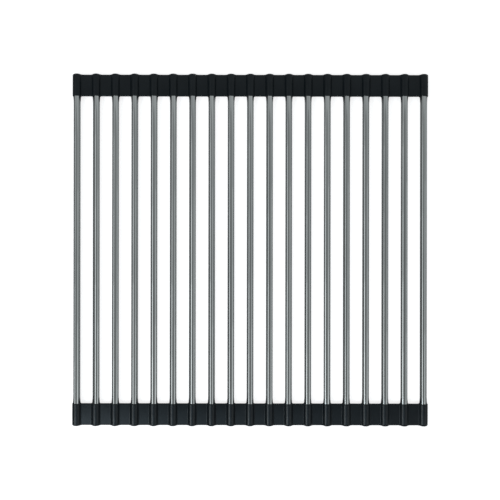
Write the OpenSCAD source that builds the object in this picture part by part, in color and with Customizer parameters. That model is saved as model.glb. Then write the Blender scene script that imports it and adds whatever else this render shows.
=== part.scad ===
// Roll-up drying rack: round steel tubes held side by side by two flexible silicone end strips.
//
// The tubes run along Y and lie side by side along X. The origin is at the bottom centre, on the surface
// that the rack rests on. Each strip has a sleeve around every tube end and a thin web between neighbouring
// sleeves, and the rack rolls up because the webs bend. A web is parted along its middle, so that every tube
// and the two strip segments on it form one rigid bar, and neighbouring bars turn about the line where they
// meet.

/* [Tubes] */
// Number of tubes across the rack
tube_count = 19; // [2:1:20]
// Outer diameter of a tube
tube_d = 7; // [5:0.5:8]
// Wall thickness of a tube
tube_wall = 0.5; // [0.3:0.1:1]
// Distance between the centres of neighbouring tubes
tube_pitch = 20; // [16:0.5:26]

/* [Rack] */
// Length of the rack along the tubes, over the closed ends of the sleeves
rack_len = 365; // [200:5:500]

/* [Sleeves] */
// Outer diameter of the sleeve around a tube end
sleeve_d = 9.2; // [9:0.1:12]
// Radius that rounds the closed end of a sleeve
sleeve_round = 2; // [0.5:0.1:2.5]
// Thickness of the closed end, beyond the end of the tube
end_wall = 3; // [2:0.5:5]
// Depth of the narrow flat that each sleeve rests on
foot_depth = 0.2; // [0.1:0.05:0.5]

/* [Webs] */
// Width of a strip's web, along the tubes
web_w = 22.6; // [16:0.1:30]
// Thickness of the web
web_t = 2.5; // [1.5:0.1:4]
// How far the web's outer edge lies back from the closed ends of the sleeves
web_recess = 0.5; // [0.2:0.1:2]

/* [Fits] */
// Radial clearance between a tube and the sleeve that grips it
socket_clearance = 0.02; // [0.01:0.01:0.1]
// Gap between the two halves of a web, at the line where they part
parting_gap = 0.1; // [0.04:0.02:0.2]

/* [Hidden] */
$fn = 96;

// How far a cutting solid reaches past what it cuts
over = 1;

sleeve_r = sleeve_d / 2;
half_len = rack_len / 2;

// Height of the tube axes above the surface that the rack rests on
axis_z = sleeve_r - foot_depth;

tube_len = rack_len - 2 * end_wall;

// Where a web ends and begins, along Y from the middle of the rack. The sleeves open where it begins.
web_outer = half_len - web_recess;
web_inner = web_outer - web_w;
sleeve_len = half_len - web_inner;

// Each half of a web reaches from a tube axis to just short of the parting line
half_web = (tube_pitch - parting_gap) / 2;

function numbered(kind, i) = str(kind, "_", i < 10 ? "0" : "", i);

// Place of tube i along X, counted from 1
function tube_x(i) = (i - (tube_count + 1) / 2) * tube_pitch;

KINDS = ["tube", "front_strip", "rear_strip"];

// Stands children that were drawn up the Z axis along +Y instead
module along_y() {
    rotate([-90, 0, 0]) children();
}

// Half of the sleeve's section, with its axis up and its closed end rounded
module sleeve_section() {
    square([sleeve_r, sleeve_len - sleeve_round]);
    square([sleeve_r - sleeve_round, sleeve_len]);
    translate([sleeve_r - sleeve_round, sleeve_len - sleeve_round]) circle(r = sleeve_round);
}

// Half of a web on the +X side of a tube: it ends on the parting line, and above its middle plane the end is
// bevelled at 45 degrees, so that two neighbouring bars can fold up to a right angle towards each other
module web_section() {
    polygon([
        [0, -web_t / 2],
        [half_web, -web_t / 2],
        [half_web, 0],
        [half_web - web_t / 2, web_t / 2],
        [0, web_t / 2],
    ]);
}

// The web's section along the tubes: its two long edges are fully rounded
module web_edges() {
    translate([web_inner + web_t / 2, -web_t / 2]) square([web_w - web_t, web_t]);
    for (y = [web_inner + web_t / 2, web_outer - web_t / 2]) translate([y, 0]) circle(d = web_t);
}

module half_web_solid() {
    intersection() {
        translate([0, web_outer + over, 0]) rotate([90, 0, 0]) linear_extrude(web_w + 2 * over) web_section();
        rotate([90, 0, 90]) linear_extrude(tube_pitch) web_edges();
    }
}

// What one tube carries of the strip at +Y, drawn about the tube's axis
module strip_segment(i) {
    difference() {
        union() {
            translate([0, web_inner, 0]) along_y() rotate_extrude() sleeve_section();
            if (i < tube_count) half_web_solid();
            if (i > 1) mirror([1, 0, 0]) half_web_solid();
        }
        translate([0, web_inner - over, 0]) along_y()
            cylinder(r = tube_d / 2 + socket_clearance, h = tube_len / 2 - web_inner + over);
        translate([-sleeve_r, web_inner - over, -sleeve_r - over])
            cube([sleeve_d, sleeve_len + 2 * over, foot_depth + over]);
    }
}

// Steel tube, open at both ends, which the sleeves close
module tube(i) {
    color("silver") translate([tube_x(i), -tube_len / 2, axis_z]) along_y() difference() {
        cylinder(d = tube_d, h = tube_len);
        translate([0, 0, -over]) cylinder(r = tube_d / 2 - tube_wall, h = tube_len + 2 * over);
    }
}

// Segment i of the silicone strip at the rear, +Y
module rear_strip(i) {
    color("dimgray") translate([tube_x(i), 0, axis_z]) strip_segment(i);
}

// Segment i of the silicone strip at the front, -Y
module front_strip(i) {
    color("dimgray") translate([tube_x(i), 0, axis_z]) mirror([0, 1, 0]) strip_segment(i);
}

for (i = [1:tube_count]) {
    tube(i);
    front_strip(i);
    rear_strip(i);
}
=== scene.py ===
import math

import bmesh
import bpy
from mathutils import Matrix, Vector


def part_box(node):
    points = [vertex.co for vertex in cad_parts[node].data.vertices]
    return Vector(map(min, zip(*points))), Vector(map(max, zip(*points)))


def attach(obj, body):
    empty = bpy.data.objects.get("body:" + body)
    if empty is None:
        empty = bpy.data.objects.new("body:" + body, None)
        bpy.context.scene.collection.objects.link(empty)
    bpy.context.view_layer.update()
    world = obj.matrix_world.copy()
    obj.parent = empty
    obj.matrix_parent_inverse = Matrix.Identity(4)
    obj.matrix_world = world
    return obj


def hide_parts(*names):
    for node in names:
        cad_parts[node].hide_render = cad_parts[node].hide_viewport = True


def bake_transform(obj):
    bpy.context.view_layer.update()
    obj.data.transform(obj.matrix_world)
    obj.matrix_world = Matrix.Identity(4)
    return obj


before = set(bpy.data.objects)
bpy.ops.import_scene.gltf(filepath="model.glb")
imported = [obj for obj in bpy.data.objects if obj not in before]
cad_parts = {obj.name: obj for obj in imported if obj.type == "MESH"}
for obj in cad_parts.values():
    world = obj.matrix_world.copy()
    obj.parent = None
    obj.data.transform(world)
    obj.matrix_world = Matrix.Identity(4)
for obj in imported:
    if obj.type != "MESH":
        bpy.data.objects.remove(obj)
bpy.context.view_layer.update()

MM = 0.001

# ---------------------------------------------------------------- sizes, from the frame where it holds them

tube_low, tube_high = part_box("tube_01")
next_low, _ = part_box("tube_02")
strip_low, strip_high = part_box("rear_strip_02")

BARS = sum(1 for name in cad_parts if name.startswith("tube_"))
TUBE_R = (tube_high.z - tube_low.z) / 2
TUBE_HALF = (tube_high.y - tube_low.y) / 2
AXIS_Z = (tube_high.z + tube_low.z) / 2
PITCH = next_low.x - tube_low.x
SLEEVE_R = strip_high.z - AXIS_Z
SLEEVE_END = strip_high.y
WEB_INNER = strip_low.y

# What the boxes don't say: the sizes that the CAD model gives its details
TUBE_WALL = 0.5 * MM
WEB_HALF_T = 1.25 * MM
WEB_RECESS = 0.5 * MM
END_ROUND = 2.0 * MM
WEB_OUTER = SLEEVE_END - WEB_RECESS

# Small roundings that only the looks need
MOUTH_ROUND = 0.6 * MM
FILLET = 0.9 * MM
TUBE_CHAMFER = 0.12 * MM
SOCKET_GAP = 0.02 * MM

# The collar: how far the silicone runs along both sides of a tube, out of the sleeve's mouth, and how far
# back in the sleeve it begins. It is full at the sides of the tube and ends before its top and bottom.
COLLAR = 1.4 * MM
COLLAR_ROOT = 4.0 * MM
COLLAR_FULL_Z, COLLAR_END_Z = 0.2 * TUBE_R, 0.75 * TUBE_R
COLLAR_END_X = 0.6 * TUBE_R

# The tongue: the thin tip that the collar ends in, against the tube. Its thickness tapers off by a power.
TONGUE = 5.0 * MM
TONGUE_T = 0.4 * MM
TONGUE_TAPER = 1.5

# The soft shoulder between a sleeve's closed end and the web's outer edge, and where it begins and peaks
SHOULDER = 0.25 * MM
SHOULDER_ROOT = 3.0 * MM
SHOULDER_START_X, SHOULDER_PEAK_X = 0.7 * SLEEVE_R, 0.87 * SLEEVE_R

# Where a sleeve's piece stops and the web's piece begins, from the tube axis
SEAM = 6.0 * MM


def bar_x(k):
    """The X of tube k, counted from 1."""
    return (tube_low.x + tube_high.x) / 2 + (k - 1) * PITCH


def numbered(kind, k):
    return f"{kind}_{k:02d}"


# ---------------------------------------------------------------- materials

# The range that most of a noise's values lie in
NOISE_LOW, NOISE_HIGH = 0.3, 0.7

# Colours are linear, and the heights of the relief are in metres
STEEL_DARK, STEEL_LIGHT = (0.58, 0.59, 0.585), (0.69, 0.695, 0.685)
STEEL_ROUGH = (0.04, 0.08)
LEAN_HEIGHT, WAVE_HEIGHT = 0.0046, 0.00035
SILICONE_DARK, SILICONE_LIGHT = (0.0052, 0.0084, 0.0110), (0.0080, 0.0118, 0.0148)
SILICONE_ROUGH = (0.30, 0.37)
SILICONE_IOR = 1.37
PATCH_LOW = 0.35
GRAIN_STRENGTH, GRAIN_HEIGHT = 0.25, 0.00003


def new_material(name):
    """A material with one Principled shader, and a function that adds nodes to it."""
    mat = bpy.data.materials.new(name)
    mat.use_nodes = True
    tree = mat.node_tree
    shader = next(n for n in tree.nodes if n.type == "BSDF_PRINCIPLED")

    def add(kind, **settings):
        node = tree.nodes.new(kind)
        for key, value in settings.items():
            node.inputs[key].default_value = value
        return node

    return mat, tree, shader, add


def stretched_noise(tree, add, scale, **settings):
    """Noise on the object's own coordinates. Its scale is a number of cells per metre along X, Y and Z."""
    place = add("ShaderNodeTexCoord")
    mapping = add("ShaderNodeMapping", Scale=scale)
    noise = add("ShaderNodeTexNoise", Scale=1.0, **settings)
    tree.links.new(place.outputs["Object"], mapping.inputs["Vector"])
    tree.links.new(mapping.outputs["Vector"], noise.inputs["Vector"])
    return noise


def ramp(tree, add, source, to_low, to_high):
    """Maps the usual range of a noise onto another range."""
    node = add("ShaderNodeMapRange")
    node.inputs["From Min"].default_value = NOISE_LOW
    node.inputs["From Max"].default_value = NOISE_HIGH
    node.inputs["To Min"].default_value = to_low
    node.inputs["To Max"].default_value = to_high
    tree.links.new(source, node.inputs["Value"])
    return node.outputs["Result"]


def colour_ramp(tree, add, source, low, dark, light):
    """A colour for each value of a noise: dark up to low, and light from the top of its usual range."""
    node = add("ShaderNodeValToRGB")
    stops = ((low, dark), (NOISE_HIGH, light))
    for element, (position, colour) in zip(node.color_ramp.elements, stops):
        element.position = position
        element.color = (*colour, 1)
    tree.links.new(source, node.inputs["Fac"])
    return node.outputs["Color"]


def steel():
    """Drawn stainless steel: fine lines along the tube, and a slightly uneven round, so that the reflections
    differ from tube to tube."""
    mat, tree, shader, add = new_material("drawn_stainless_steel")
    lines = stretched_noise(tree, add, (900, 1.5, 900), Detail=1.0, Roughness=0.5)
    tone = stretched_noise(tree, add, (45, 6, 45), Detail=2.0, Roughness=0.5)
    waves = stretched_noise(tree, add, (260, 0.9, 260), Detail=0.0)
    lean = stretched_noise(tree, add, (48, 0.8, 48), Detail=0.0)

    colour = colour_ramp(tree, add, tone.outputs["Fac"], NOISE_LOW, STEEL_DARK, STEEL_LIGHT)
    tree.links.new(colour, shader.inputs["Base Color"])
    rough = ramp(tree, add, lines.outputs["Fac"], *STEEL_ROUGH)
    tree.links.new(rough, shader.inputs["Roughness"])
    shader.inputs["Metallic"].default_value = 1.0

    normal = None
    for height, distance in ((lean, LEAN_HEIGHT), (waves, WAVE_HEIGHT)):
        bump = add("ShaderNodeBump", Strength=1.0, Distance=distance)
        tree.links.new(height.outputs["Fac"], bump.inputs["Height"])
        if normal:
            tree.links.new(normal, bump.inputs["Normal"])
        normal = bump.outputs["Normal"]
    tree.links.new(normal, shader.inputs["Normal"])
    return mat


def silicone():
    """Charcoal silicone: matt, with a fine moulded grain and faint dusty patches."""
    mat, tree, shader, add = new_material("charcoal_silicone")
    grain = stretched_noise(tree, add, (2400, 2400, 2400), Detail=2.0, Roughness=0.55)
    patches = stretched_noise(tree, add, (70, 70, 70), Detail=4.0, Roughness=0.6)

    colour = colour_ramp(tree, add, patches.outputs["Fac"], PATCH_LOW, SILICONE_DARK, SILICONE_LIGHT)
    tree.links.new(colour, shader.inputs["Base Color"])
    rough = ramp(tree, add, patches.outputs["Fac"], *SILICONE_ROUGH)
    tree.links.new(rough, shader.inputs["Roughness"])
    shader.inputs["IOR"].default_value = SILICONE_IOR

    bump = add("ShaderNodeBump", Strength=GRAIN_STRENGTH, Distance=GRAIN_HEIGHT)
    tree.links.new(grain.outputs["Fac"], bump.inputs["Height"])
    tree.links.new(bump.outputs["Normal"], shader.inputs["Normal"])
    return mat


STEEL = steel()
SILICONE = silicone()


# ---------------------------------------------------------------- mesh tools

SHARP_ANGLE = math.radians(34)
MERGE_DISTANCE = 1e-7


def finished_object(name, bm, material):
    """Turns a bmesh into a smooth-shaded object whose crisp edges are marked sharp."""
    bmesh.ops.remove_doubles(bm, verts=bm.verts, dist=MERGE_DISTANCE)
    bmesh.ops.recalc_face_normals(bm, faces=bm.faces)
    for face in bm.faces:
        face.smooth = True
    for edge in bm.edges:
        edge.smooth = edge.calc_face_angle(math.pi) < SHARP_ANGLE
    mesh = bpy.data.meshes.new(name)
    bm.to_mesh(mesh)
    bm.free()
    mesh.materials.append(material)
    obj = bpy.data.objects.new(name, mesh)
    bpy.context.scene.collection.objects.link(obj)
    return obj


def skin(bm, rows, closed):
    """Quads between neighbouring rows of vertices; closed joins the end of each row to its start."""
    for row, after in zip(rows, rows[1:]):
        count = len(row) if closed else len(row) - 1
        for i in range(count):
            j = (i + 1) % len(row)
            bm.faces.new((row[i], row[j], after[j], after[i]))


def ring(bm, radius, y, sides):
    """A circle of vertices about the tube's own axis, which lies at X 0."""
    turn = 2 * math.pi / sides
    return [
        bm.verts.new((radius * math.cos(i * turn), y, AXIS_Z + radius * math.sin(i * turn)))
        for i in range(sides)
    ]


def arc(steps, start, end):
    """Evenly spaced angles from start to end."""
    return [start + (end - start) * i / steps for i in range(steps + 1)]


# ---------------------------------------------------------------- tubes

TUBE_SIDES = 64


def make_tube(k):
    """One hollow tube: outside, bore and both ends, with the cut edges broken."""
    bm = bmesh.new()
    bore_r = TUBE_R - TUBE_WALL
    c = TUBE_CHAMFER
    section = [
        (TUBE_R, -TUBE_HALF + c),
        (TUBE_R, TUBE_HALF - c),
        (TUBE_R - c, TUBE_HALF),
        (bore_r + c, TUBE_HALF),
        (bore_r, TUBE_HALF - c),
        (bore_r, -TUBE_HALF + c),
        (bore_r + c, -TUBE_HALF),
        (TUBE_R - c, -TUBE_HALF),
    ]
    rows = [ring(bm, radius, y, TUBE_SIDES) for radius, y in section]
    skin(bm, rows + rows[:1], closed=True)
    bmesh.ops.translate(bm, verts=bm.verts, vec=(bar_x(k), 0, 0))
    obj = finished_object(numbered("steel_tube", k), bm, STEEL)
    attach(obj, numbered("bar", k))
    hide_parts(numbered("tube", k))


# ---------------------------------------------------------------- silicone strips

EDGE_STEPS = 7
ARC_STEPS = 28
FILLET_STEPS = 5
WEB_STEPS = 2
DOME_STEPS = 6
BEND_STEPS = 16

# Rings on the sleeve's mouth, at shares of the tongue's thickness, and on the flat of its closed end, at
# shares of the flat's radius
TONGUE_RINGS = (1, 0.7, 0.42, 0.2)
END_RINGS = (0.9, 0.5)


def web_stations():
    """(y, half thickness) of the web along the tubes, with both of its long edges fully rounded."""
    inner, outer = WEB_INNER + WEB_HALF_T, WEB_OUTER - WEB_HALF_T
    quarter = arc(EDGE_STEPS, 0, math.pi / 2)
    rising = [(inner - WEB_HALF_T * math.cos(a), WEB_HALF_T * math.sin(a)) for a in quarter]
    middle = [((inner + outer) / 2, WEB_HALF_T)]
    falling = [(outer + WEB_HALF_T * math.sin(a), WEB_HALF_T * math.cos(a)) for a in quarter]
    return rising + middle + falling


def sleeve_radius(y):
    """Outer radius of a sleeve at y: both of its ends are rounded."""
    from_mouth, from_end = y - WEB_INNER, SLEEVE_END - y
    for gap, rounding in ((from_mouth, MOUTH_ROUND), (from_end, END_ROUND)):
        if gap < rounding:
            return SLEEVE_R - rounding + math.sqrt(max(rounding**2 - (rounding - gap) ** 2, 0))
    return SLEEVE_R


def sleeve_outline(y, half_t, left_web, right_web):
    """The upper half of the section at y, from the right-hand seam over the crown to the left-hand one.
    A side without a web keeps the plain round of the sleeve."""
    radius = sleeve_radius(y)
    fillet = FILLET * math.sqrt(half_t / WEB_HALF_T)
    reach = math.sqrt((radius + fillet) ** 2 - (half_t + fillet) ** 2)
    meet = math.atan2(half_t + fillet, reach)
    side = []
    for i in range(WEB_STEPS):
        side.append((SEAM + (reach - SEAM) * i / WEB_STEPS, half_t))
    for angle in arc(FILLET_STEPS, 1.5 * math.pi, math.pi + meet)[:-1]:
        side.append((reach + fillet * math.cos(angle), half_t + fillet + fillet * math.sin(angle)))
    start = meet if right_web else 0
    end = math.pi - (meet if left_web else 0)
    crown = [(radius * math.cos(a), radius * math.sin(a)) for a in arc(ARC_STEPS, start, end)]
    right = side if right_web else []
    left = [(-x, z) for x, z in reversed(side)] if left_web else []
    return right + crown + left


def smooth(value, start, end):
    """0 before start, 1 after end, and a smooth rise between them."""
    t = min(max((value - start) / (end - start), 0), 1)
    return t * t * (3 - 2 * t)


def moulded_y(x, y, z):
    """Where a point of a sleeve lies along Y, when a plain sleeve would have it at y. At the mouth a collar
    with a thin tongue runs along both sides of the tube, and at the closed end a soft shoulder runs into the
    web's outer edge."""
    aside = abs(x)
    gap = min(max(aside - TUBE_R, 0), COLLAR)
    collar = COLLAR - math.sqrt(COLLAR**2 - (COLLAR - gap) ** 2)
    off_tube = max(math.hypot(x, z) - TUBE_R, 0)
    collar += TONGUE * max(1 - off_tube / TONGUE_T, 0) ** TONGUE_TAPER
    collar *= 1 - smooth(abs(z), COLLAR_FULL_Z, COLLAR_END_Z)
    collar *= smooth(aside, COLLAR_END_X, TUBE_R)
    collar *= 1 - smooth(y, WEB_INNER, WEB_INNER + COLLAR_ROOT)
    shoulder = SHOULDER * smooth(aside, SHOULDER_START_X, SHOULDER_PEAK_X)
    shoulder *= 1 - smooth(aside, SHOULDER_PEAK_X, SEAM)
    shoulder *= smooth(y, WEB_OUTER - SHOULDER_ROOT, WEB_OUTER)
    return y - collar + shoulder


def make_sleeve(k, strip):
    """The sleeve that tube k ends in, its blind socket, and the roots of the webs beside it."""
    bm = bmesh.new()
    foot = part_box(numbered(strip + "_strip", k))[0].z - AXIS_Z
    left_web, right_web = k > 1, k < BARS
    angles = arc(ARC_STEPS, 0, math.pi)[:-1] + arc(ARC_STEPS, math.pi, 2 * math.pi)[:-1]

    def add(x, y, z):
        return bm.verts.new((x, moulded_y(x, y, z), AXIS_Z + max(z, foot)))

    def add_ring(radius, y):
        return [add(radius * math.cos(a), y, radius * math.sin(a)) for a in angles]

    tops, bottoms = [], []
    for y, half_t in web_stations():
        outline = sleeve_outline(y, half_t, left_web, right_web)
        tops.append([add(x, y, z) for x, z in outline])
        bottoms.append([add(x, y, -z) for x, z in outline])
    skin(bm, tops, closed=False)
    skin(bm, bottoms, closed=False)
    for column in ((0,) if right_web else ()) + ((-1,) if left_web else ()):
        seam = [row[column] for row in tops] + [row[column] for row in reversed(bottoms[1:-1])]
        bm.faces.new(seam)

    # The closed end, beyond the web's outer edge
    dome = []
    for gap_angle in arc(DOME_STEPS, math.acos(1 - WEB_RECESS / END_ROUND), 0):
        y = SLEEVE_END - END_ROUND * (1 - math.cos(gap_angle))
        radius = SLEEVE_R - END_ROUND + END_ROUND * math.sin(gap_angle)
        dome.append(add_ring(radius, y))
    face_r = SLEEVE_R - END_ROUND
    dome += [add_ring(face_r * share, SLEEVE_END) for share in END_RINGS]
    skin(bm, dome, closed=True)
    bm.faces.new(dome[-1])

    # The mouth and the blind socket
    socket_r = TUBE_R + SOCKET_GAP
    mouth_r = SLEEVE_R - MOUTH_ROUND
    mouth = [mouth_r, *(TUBE_R + TONGUE_T * share for share in TONGUE_RINGS), socket_r]
    socket = [add_ring(radius, WEB_INNER) for radius in mouth] + [add_ring(socket_r, TUBE_HALF)]
    skin(bm, socket, closed=True)
    bm.faces.new(socket[-1])

    if strip == "front":
        bmesh.ops.scale(bm, vec=(1, -1, 1), verts=bm.verts)
    bmesh.ops.translate(bm, verts=bm.verts, vec=(bar_x(k), 0, 0))
    obj = finished_object(numbered(strip + "_sleeve", k), bm, SILICONE)
    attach(obj, numbered("bar", k))
    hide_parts(numbered(strip + "_strip", k))


def make_web(k, strip):
    """The web between sleeves k and k + 1, from seam to seam."""
    bm = bmesh.new()
    stations = web_stations()
    loop = stations + [(y, -t) for y, t in reversed(stations[1:-1])]
    start, end = bar_x(k) + SEAM, bar_x(k + 1) - SEAM
    rows = []
    for i in range(BEND_STEPS + 1):
        x = start + (end - start) * i / BEND_STEPS
        rows.append([bm.verts.new((x, y, AXIS_Z + z)) for y, z in loop])
    skin(bm, rows, closed=True)
    bm.faces.new(rows[0])
    bm.faces.new(rows[-1])
    if strip == "front":
        bmesh.ops.scale(bm, vec=(1, -1, 1), verts=bm.verts)
    obj = finished_object(numbered(strip + "_web", k), bm, SILICONE)
    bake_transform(obj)
    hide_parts(numbered(strip + "_strip", k), numbered(strip + "_strip", k + 1))


for k in range(1, BARS + 1):
    make_tube(k)
for strip in ("front", "rear"):
    for k in range(1, BARS + 1):
        make_sleeve(k, strip)
    for k in range(1, BARS):
        make_web(k, strip)


# ---------------------------------------------------------------- stage, light and camera

COOL = (0.93, 1.0, 1.02)
BLUE = (0.64, 0.85, 1.0)

CAMERA_HEIGHT = 0.664
CAMERA_X = -0.2 * MM
CAMERA_ROLL = math.radians(0.08)
LENS = 46.0
SENSOR = 36.0

# The stage: the floor near the rack, the floor from there to just past the dome's foot, and the dome
FLOOR_WHITE = 0.8
GLOW_COLOUR = (1.02, 1.0, 1.0)
NEAR_GLOW = 0.73
FAR_GLOW = 0.90
DOME_GLOW = 1.03
NEAR_RADIUS = 1.2
DOME_RADIUS = 6.0
FAR_RADIUS = 1.05 * DOME_RADIUS
STAGE_SIDES = 96

# The studio's own light: its strength overhead, and what each direction adds to that
OVERHEAD = 0.208
SLOPE = (0.105, 0.20, 0.0)
RISE = (0.0, 0.30, 0.0)


def stage_object(name, bm, albedo, glow):
    """Part of the plain white stage. It glows a little, as a light table does, and polished parts don't
    mirror it."""
    mesh = bpy.data.meshes.new(name)
    bm.to_mesh(mesh)
    bm.free()
    mat, _, shader, _ = new_material(name + "_white")
    shader.inputs["Base Color"].default_value = (albedo, albedo, albedo, 1)
    shader.inputs["Roughness"].default_value = 0.9
    shader.inputs["Specular IOR Level"].default_value = 0.0
    shader.inputs["Emission Color"].default_value = (*GLOW_COLOUR, 1)
    shader.inputs["Emission Strength"].default_value = glow
    mesh.materials.append(mat)
    obj = bpy.data.objects.new(name, mesh)
    bpy.context.scene.collection.objects.link(obj)
    obj.visible_glossy = False
    return obj


def floor_circle(bm, radius):
    """A circle of vertices on the floor."""
    angles = arc(STAGE_SIDES, 0, 2 * math.pi)[:-1]
    return [bm.verts.new((radius * math.cos(a), radius * math.sin(a), 0)) for a in angles]


def make_stage():
    """A round floor under a dome. The far floor glows more, because the softboxes don't reach it."""
    bm = bmesh.new()
    bm.faces.new(floor_circle(bm, NEAR_RADIUS))
    stage_object("floor", bm, FLOOR_WHITE, NEAR_GLOW)
    bm = bmesh.new()
    skin(bm, [floor_circle(bm, NEAR_RADIUS), floor_circle(bm, FAR_RADIUS)], closed=True)
    stage_object("far_floor", bm, FLOOR_WHITE, FAR_GLOW)
    bm = bmesh.new()
    bmesh.ops.create_uvsphere(
        bm, u_segments=STAGE_SIDES, v_segments=STAGE_SIDES // 2, radius=DOME_RADIUS
    )
    dome = stage_object("backdrop", bm, 0.0, DOME_GLOW)
    dome.visible_diffuse = False
    dome.visible_shadow = False


def softbox(name, colour, radiance, width, length, place, target):
    """A rectangular light of that radiance, tilted about Y to face target; its length runs along Y."""
    data = bpy.data.lights.new(name, "AREA")
    data.shape = "RECTANGLE"
    data.size, data.size_y = width, length
    data.energy = radiance * math.pi * width * length
    data.color = colour
    obj = bpy.data.objects.new(name, data)
    obj.location = place
    obj.visible_camera = False
    bpy.context.scene.collection.objects.link(obj)
    away_x, _, away_z = (here - there for here, there in zip(place, target))
    obj.rotation_euler = (0, math.atan2(away_x, away_z), 0)


def softbox_row(name, width, x, z, edges, radiances):
    """Softboxes end to end along Y, from one edge to the next, each with its own radiance, so that what
    mirrors them fades step by step."""
    for i, radiance in enumerate(radiances):
        low, high = edges[i], edges[i + 1]
        middle = (low + high) / 2
        place, target = (x, middle, z), (0, middle, 0)
        softbox(f"{name}_{i + 1}", COOL, radiance, width, high - low, place, target)


def make_world(grey, slope, rise):
    """A studio that is as bright as grey overhead. It grows lighter along slope, and towards both ends of
    each axis by rise times the square of the direction."""
    world = bpy.data.worlds.new("studio")
    world.use_nodes = True
    tree = world.node_tree

    def vector_math(operation, first, second):
        node = tree.nodes.new("ShaderNodeVectorMath")
        node.operation = operation
        tree.links.new(first, node.inputs[0])
        if isinstance(second, tuple):
            node.inputs[1].default_value = second
        else:
            tree.links.new(second, node.inputs[1])
        return node.outputs

    def add(first, second):
        node = tree.nodes.new("ShaderNodeMath")
        node.operation = "ADD"
        tree.links.new(first, node.inputs[0])
        if isinstance(second, float):
            node.inputs[1].default_value = second
        else:
            tree.links.new(second, node.inputs[1])
        return node.outputs["Value"]

    direction = tree.nodes.new("ShaderNodeTexCoord").outputs["Generated"]
    square = vector_math("MULTIPLY", direction, direction)["Vector"]
    along = vector_math("DOT_PRODUCT", direction, slope)["Value"]
    ends = vector_math("DOT_PRODUCT", square, rise)["Value"]
    background = tree.nodes["Background"]
    background.inputs["Color"].default_value = (*COOL, 1)
    tree.links.new(add(add(along, ends), grey), background.inputs["Strength"])
    bpy.context.scene.world = world


def make_camera():
    data = bpy.data.cameras.new("camera")
    data.lens = LENS
    data.sensor_width = SENSOR
    obj = bpy.data.objects.new("camera", data)
    obj.location = (CAMERA_X, 0, AXIS_Z + CAMERA_HEIGHT)
    obj.rotation_euler.z = CAMERA_ROLL
    bpy.context.scene.collection.objects.link(obj)
    bpy.context.scene.camera = obj


make_stage()
make_world(OVERHEAD, SLOPE, RISE)

# The rows at both sides make the streaks on the tubes, which fade towards the rear. The lights beyond the
# ends of the tubes make the sheen on the strips.
softbox("key_left_far", COOL, 13.0, 0.28, 0.45, (-1.0, -0.81, 1.1), (0, -0.81, 0))
softbox_row(
    "key_left",
    width=0.60,
    x=-1.0,
    z=1.1,
    edges=(-0.585, -0.35, -0.11, 0.13, 0.36, 0.44, 0.60, 0.81),
    radiances=(1.28, 1.06, 0.78, 0.62, 0.42, 0.24, 0.20),
)
softbox("fill_right", COOL, 0.09, 0.6, 2.0, (1.2, -0.2, 0.9), (0, -0.2, 0))
softbox_row(
    "fill_right_front",
    width=0.55,
    x=1.15,
    z=0.80,
    edges=(-1.15, -0.45, -0.25, -0.05, 0.20),
    radiances=(0.56, 0.44, 0.25, 0.16),
)
softbox("fill_right_far", COOL, 2.4, 0.28, 0.34, (0.80, -0.76, 1.15), (0, -0.76, 0))
softbox("fill_rear", COOL, 0.13, 2.0, 0.5, (0.1, 0.66, 1.2), (0.1, 0.66, 0))
softbox("fill_front_left", BLUE, 3.6, 0.45, 0.34, (-0.60, -0.67, 1.15), (-0.60, -0.67, 0))
softbox("fill_front_middle", BLUE, 1.3, 0.60, 0.34, (-0.05, -0.67, 1.15), (-0.05, -0.67, 0))
make_camera()
bpy.context.scene.view_settings.view_transform = "Standard"
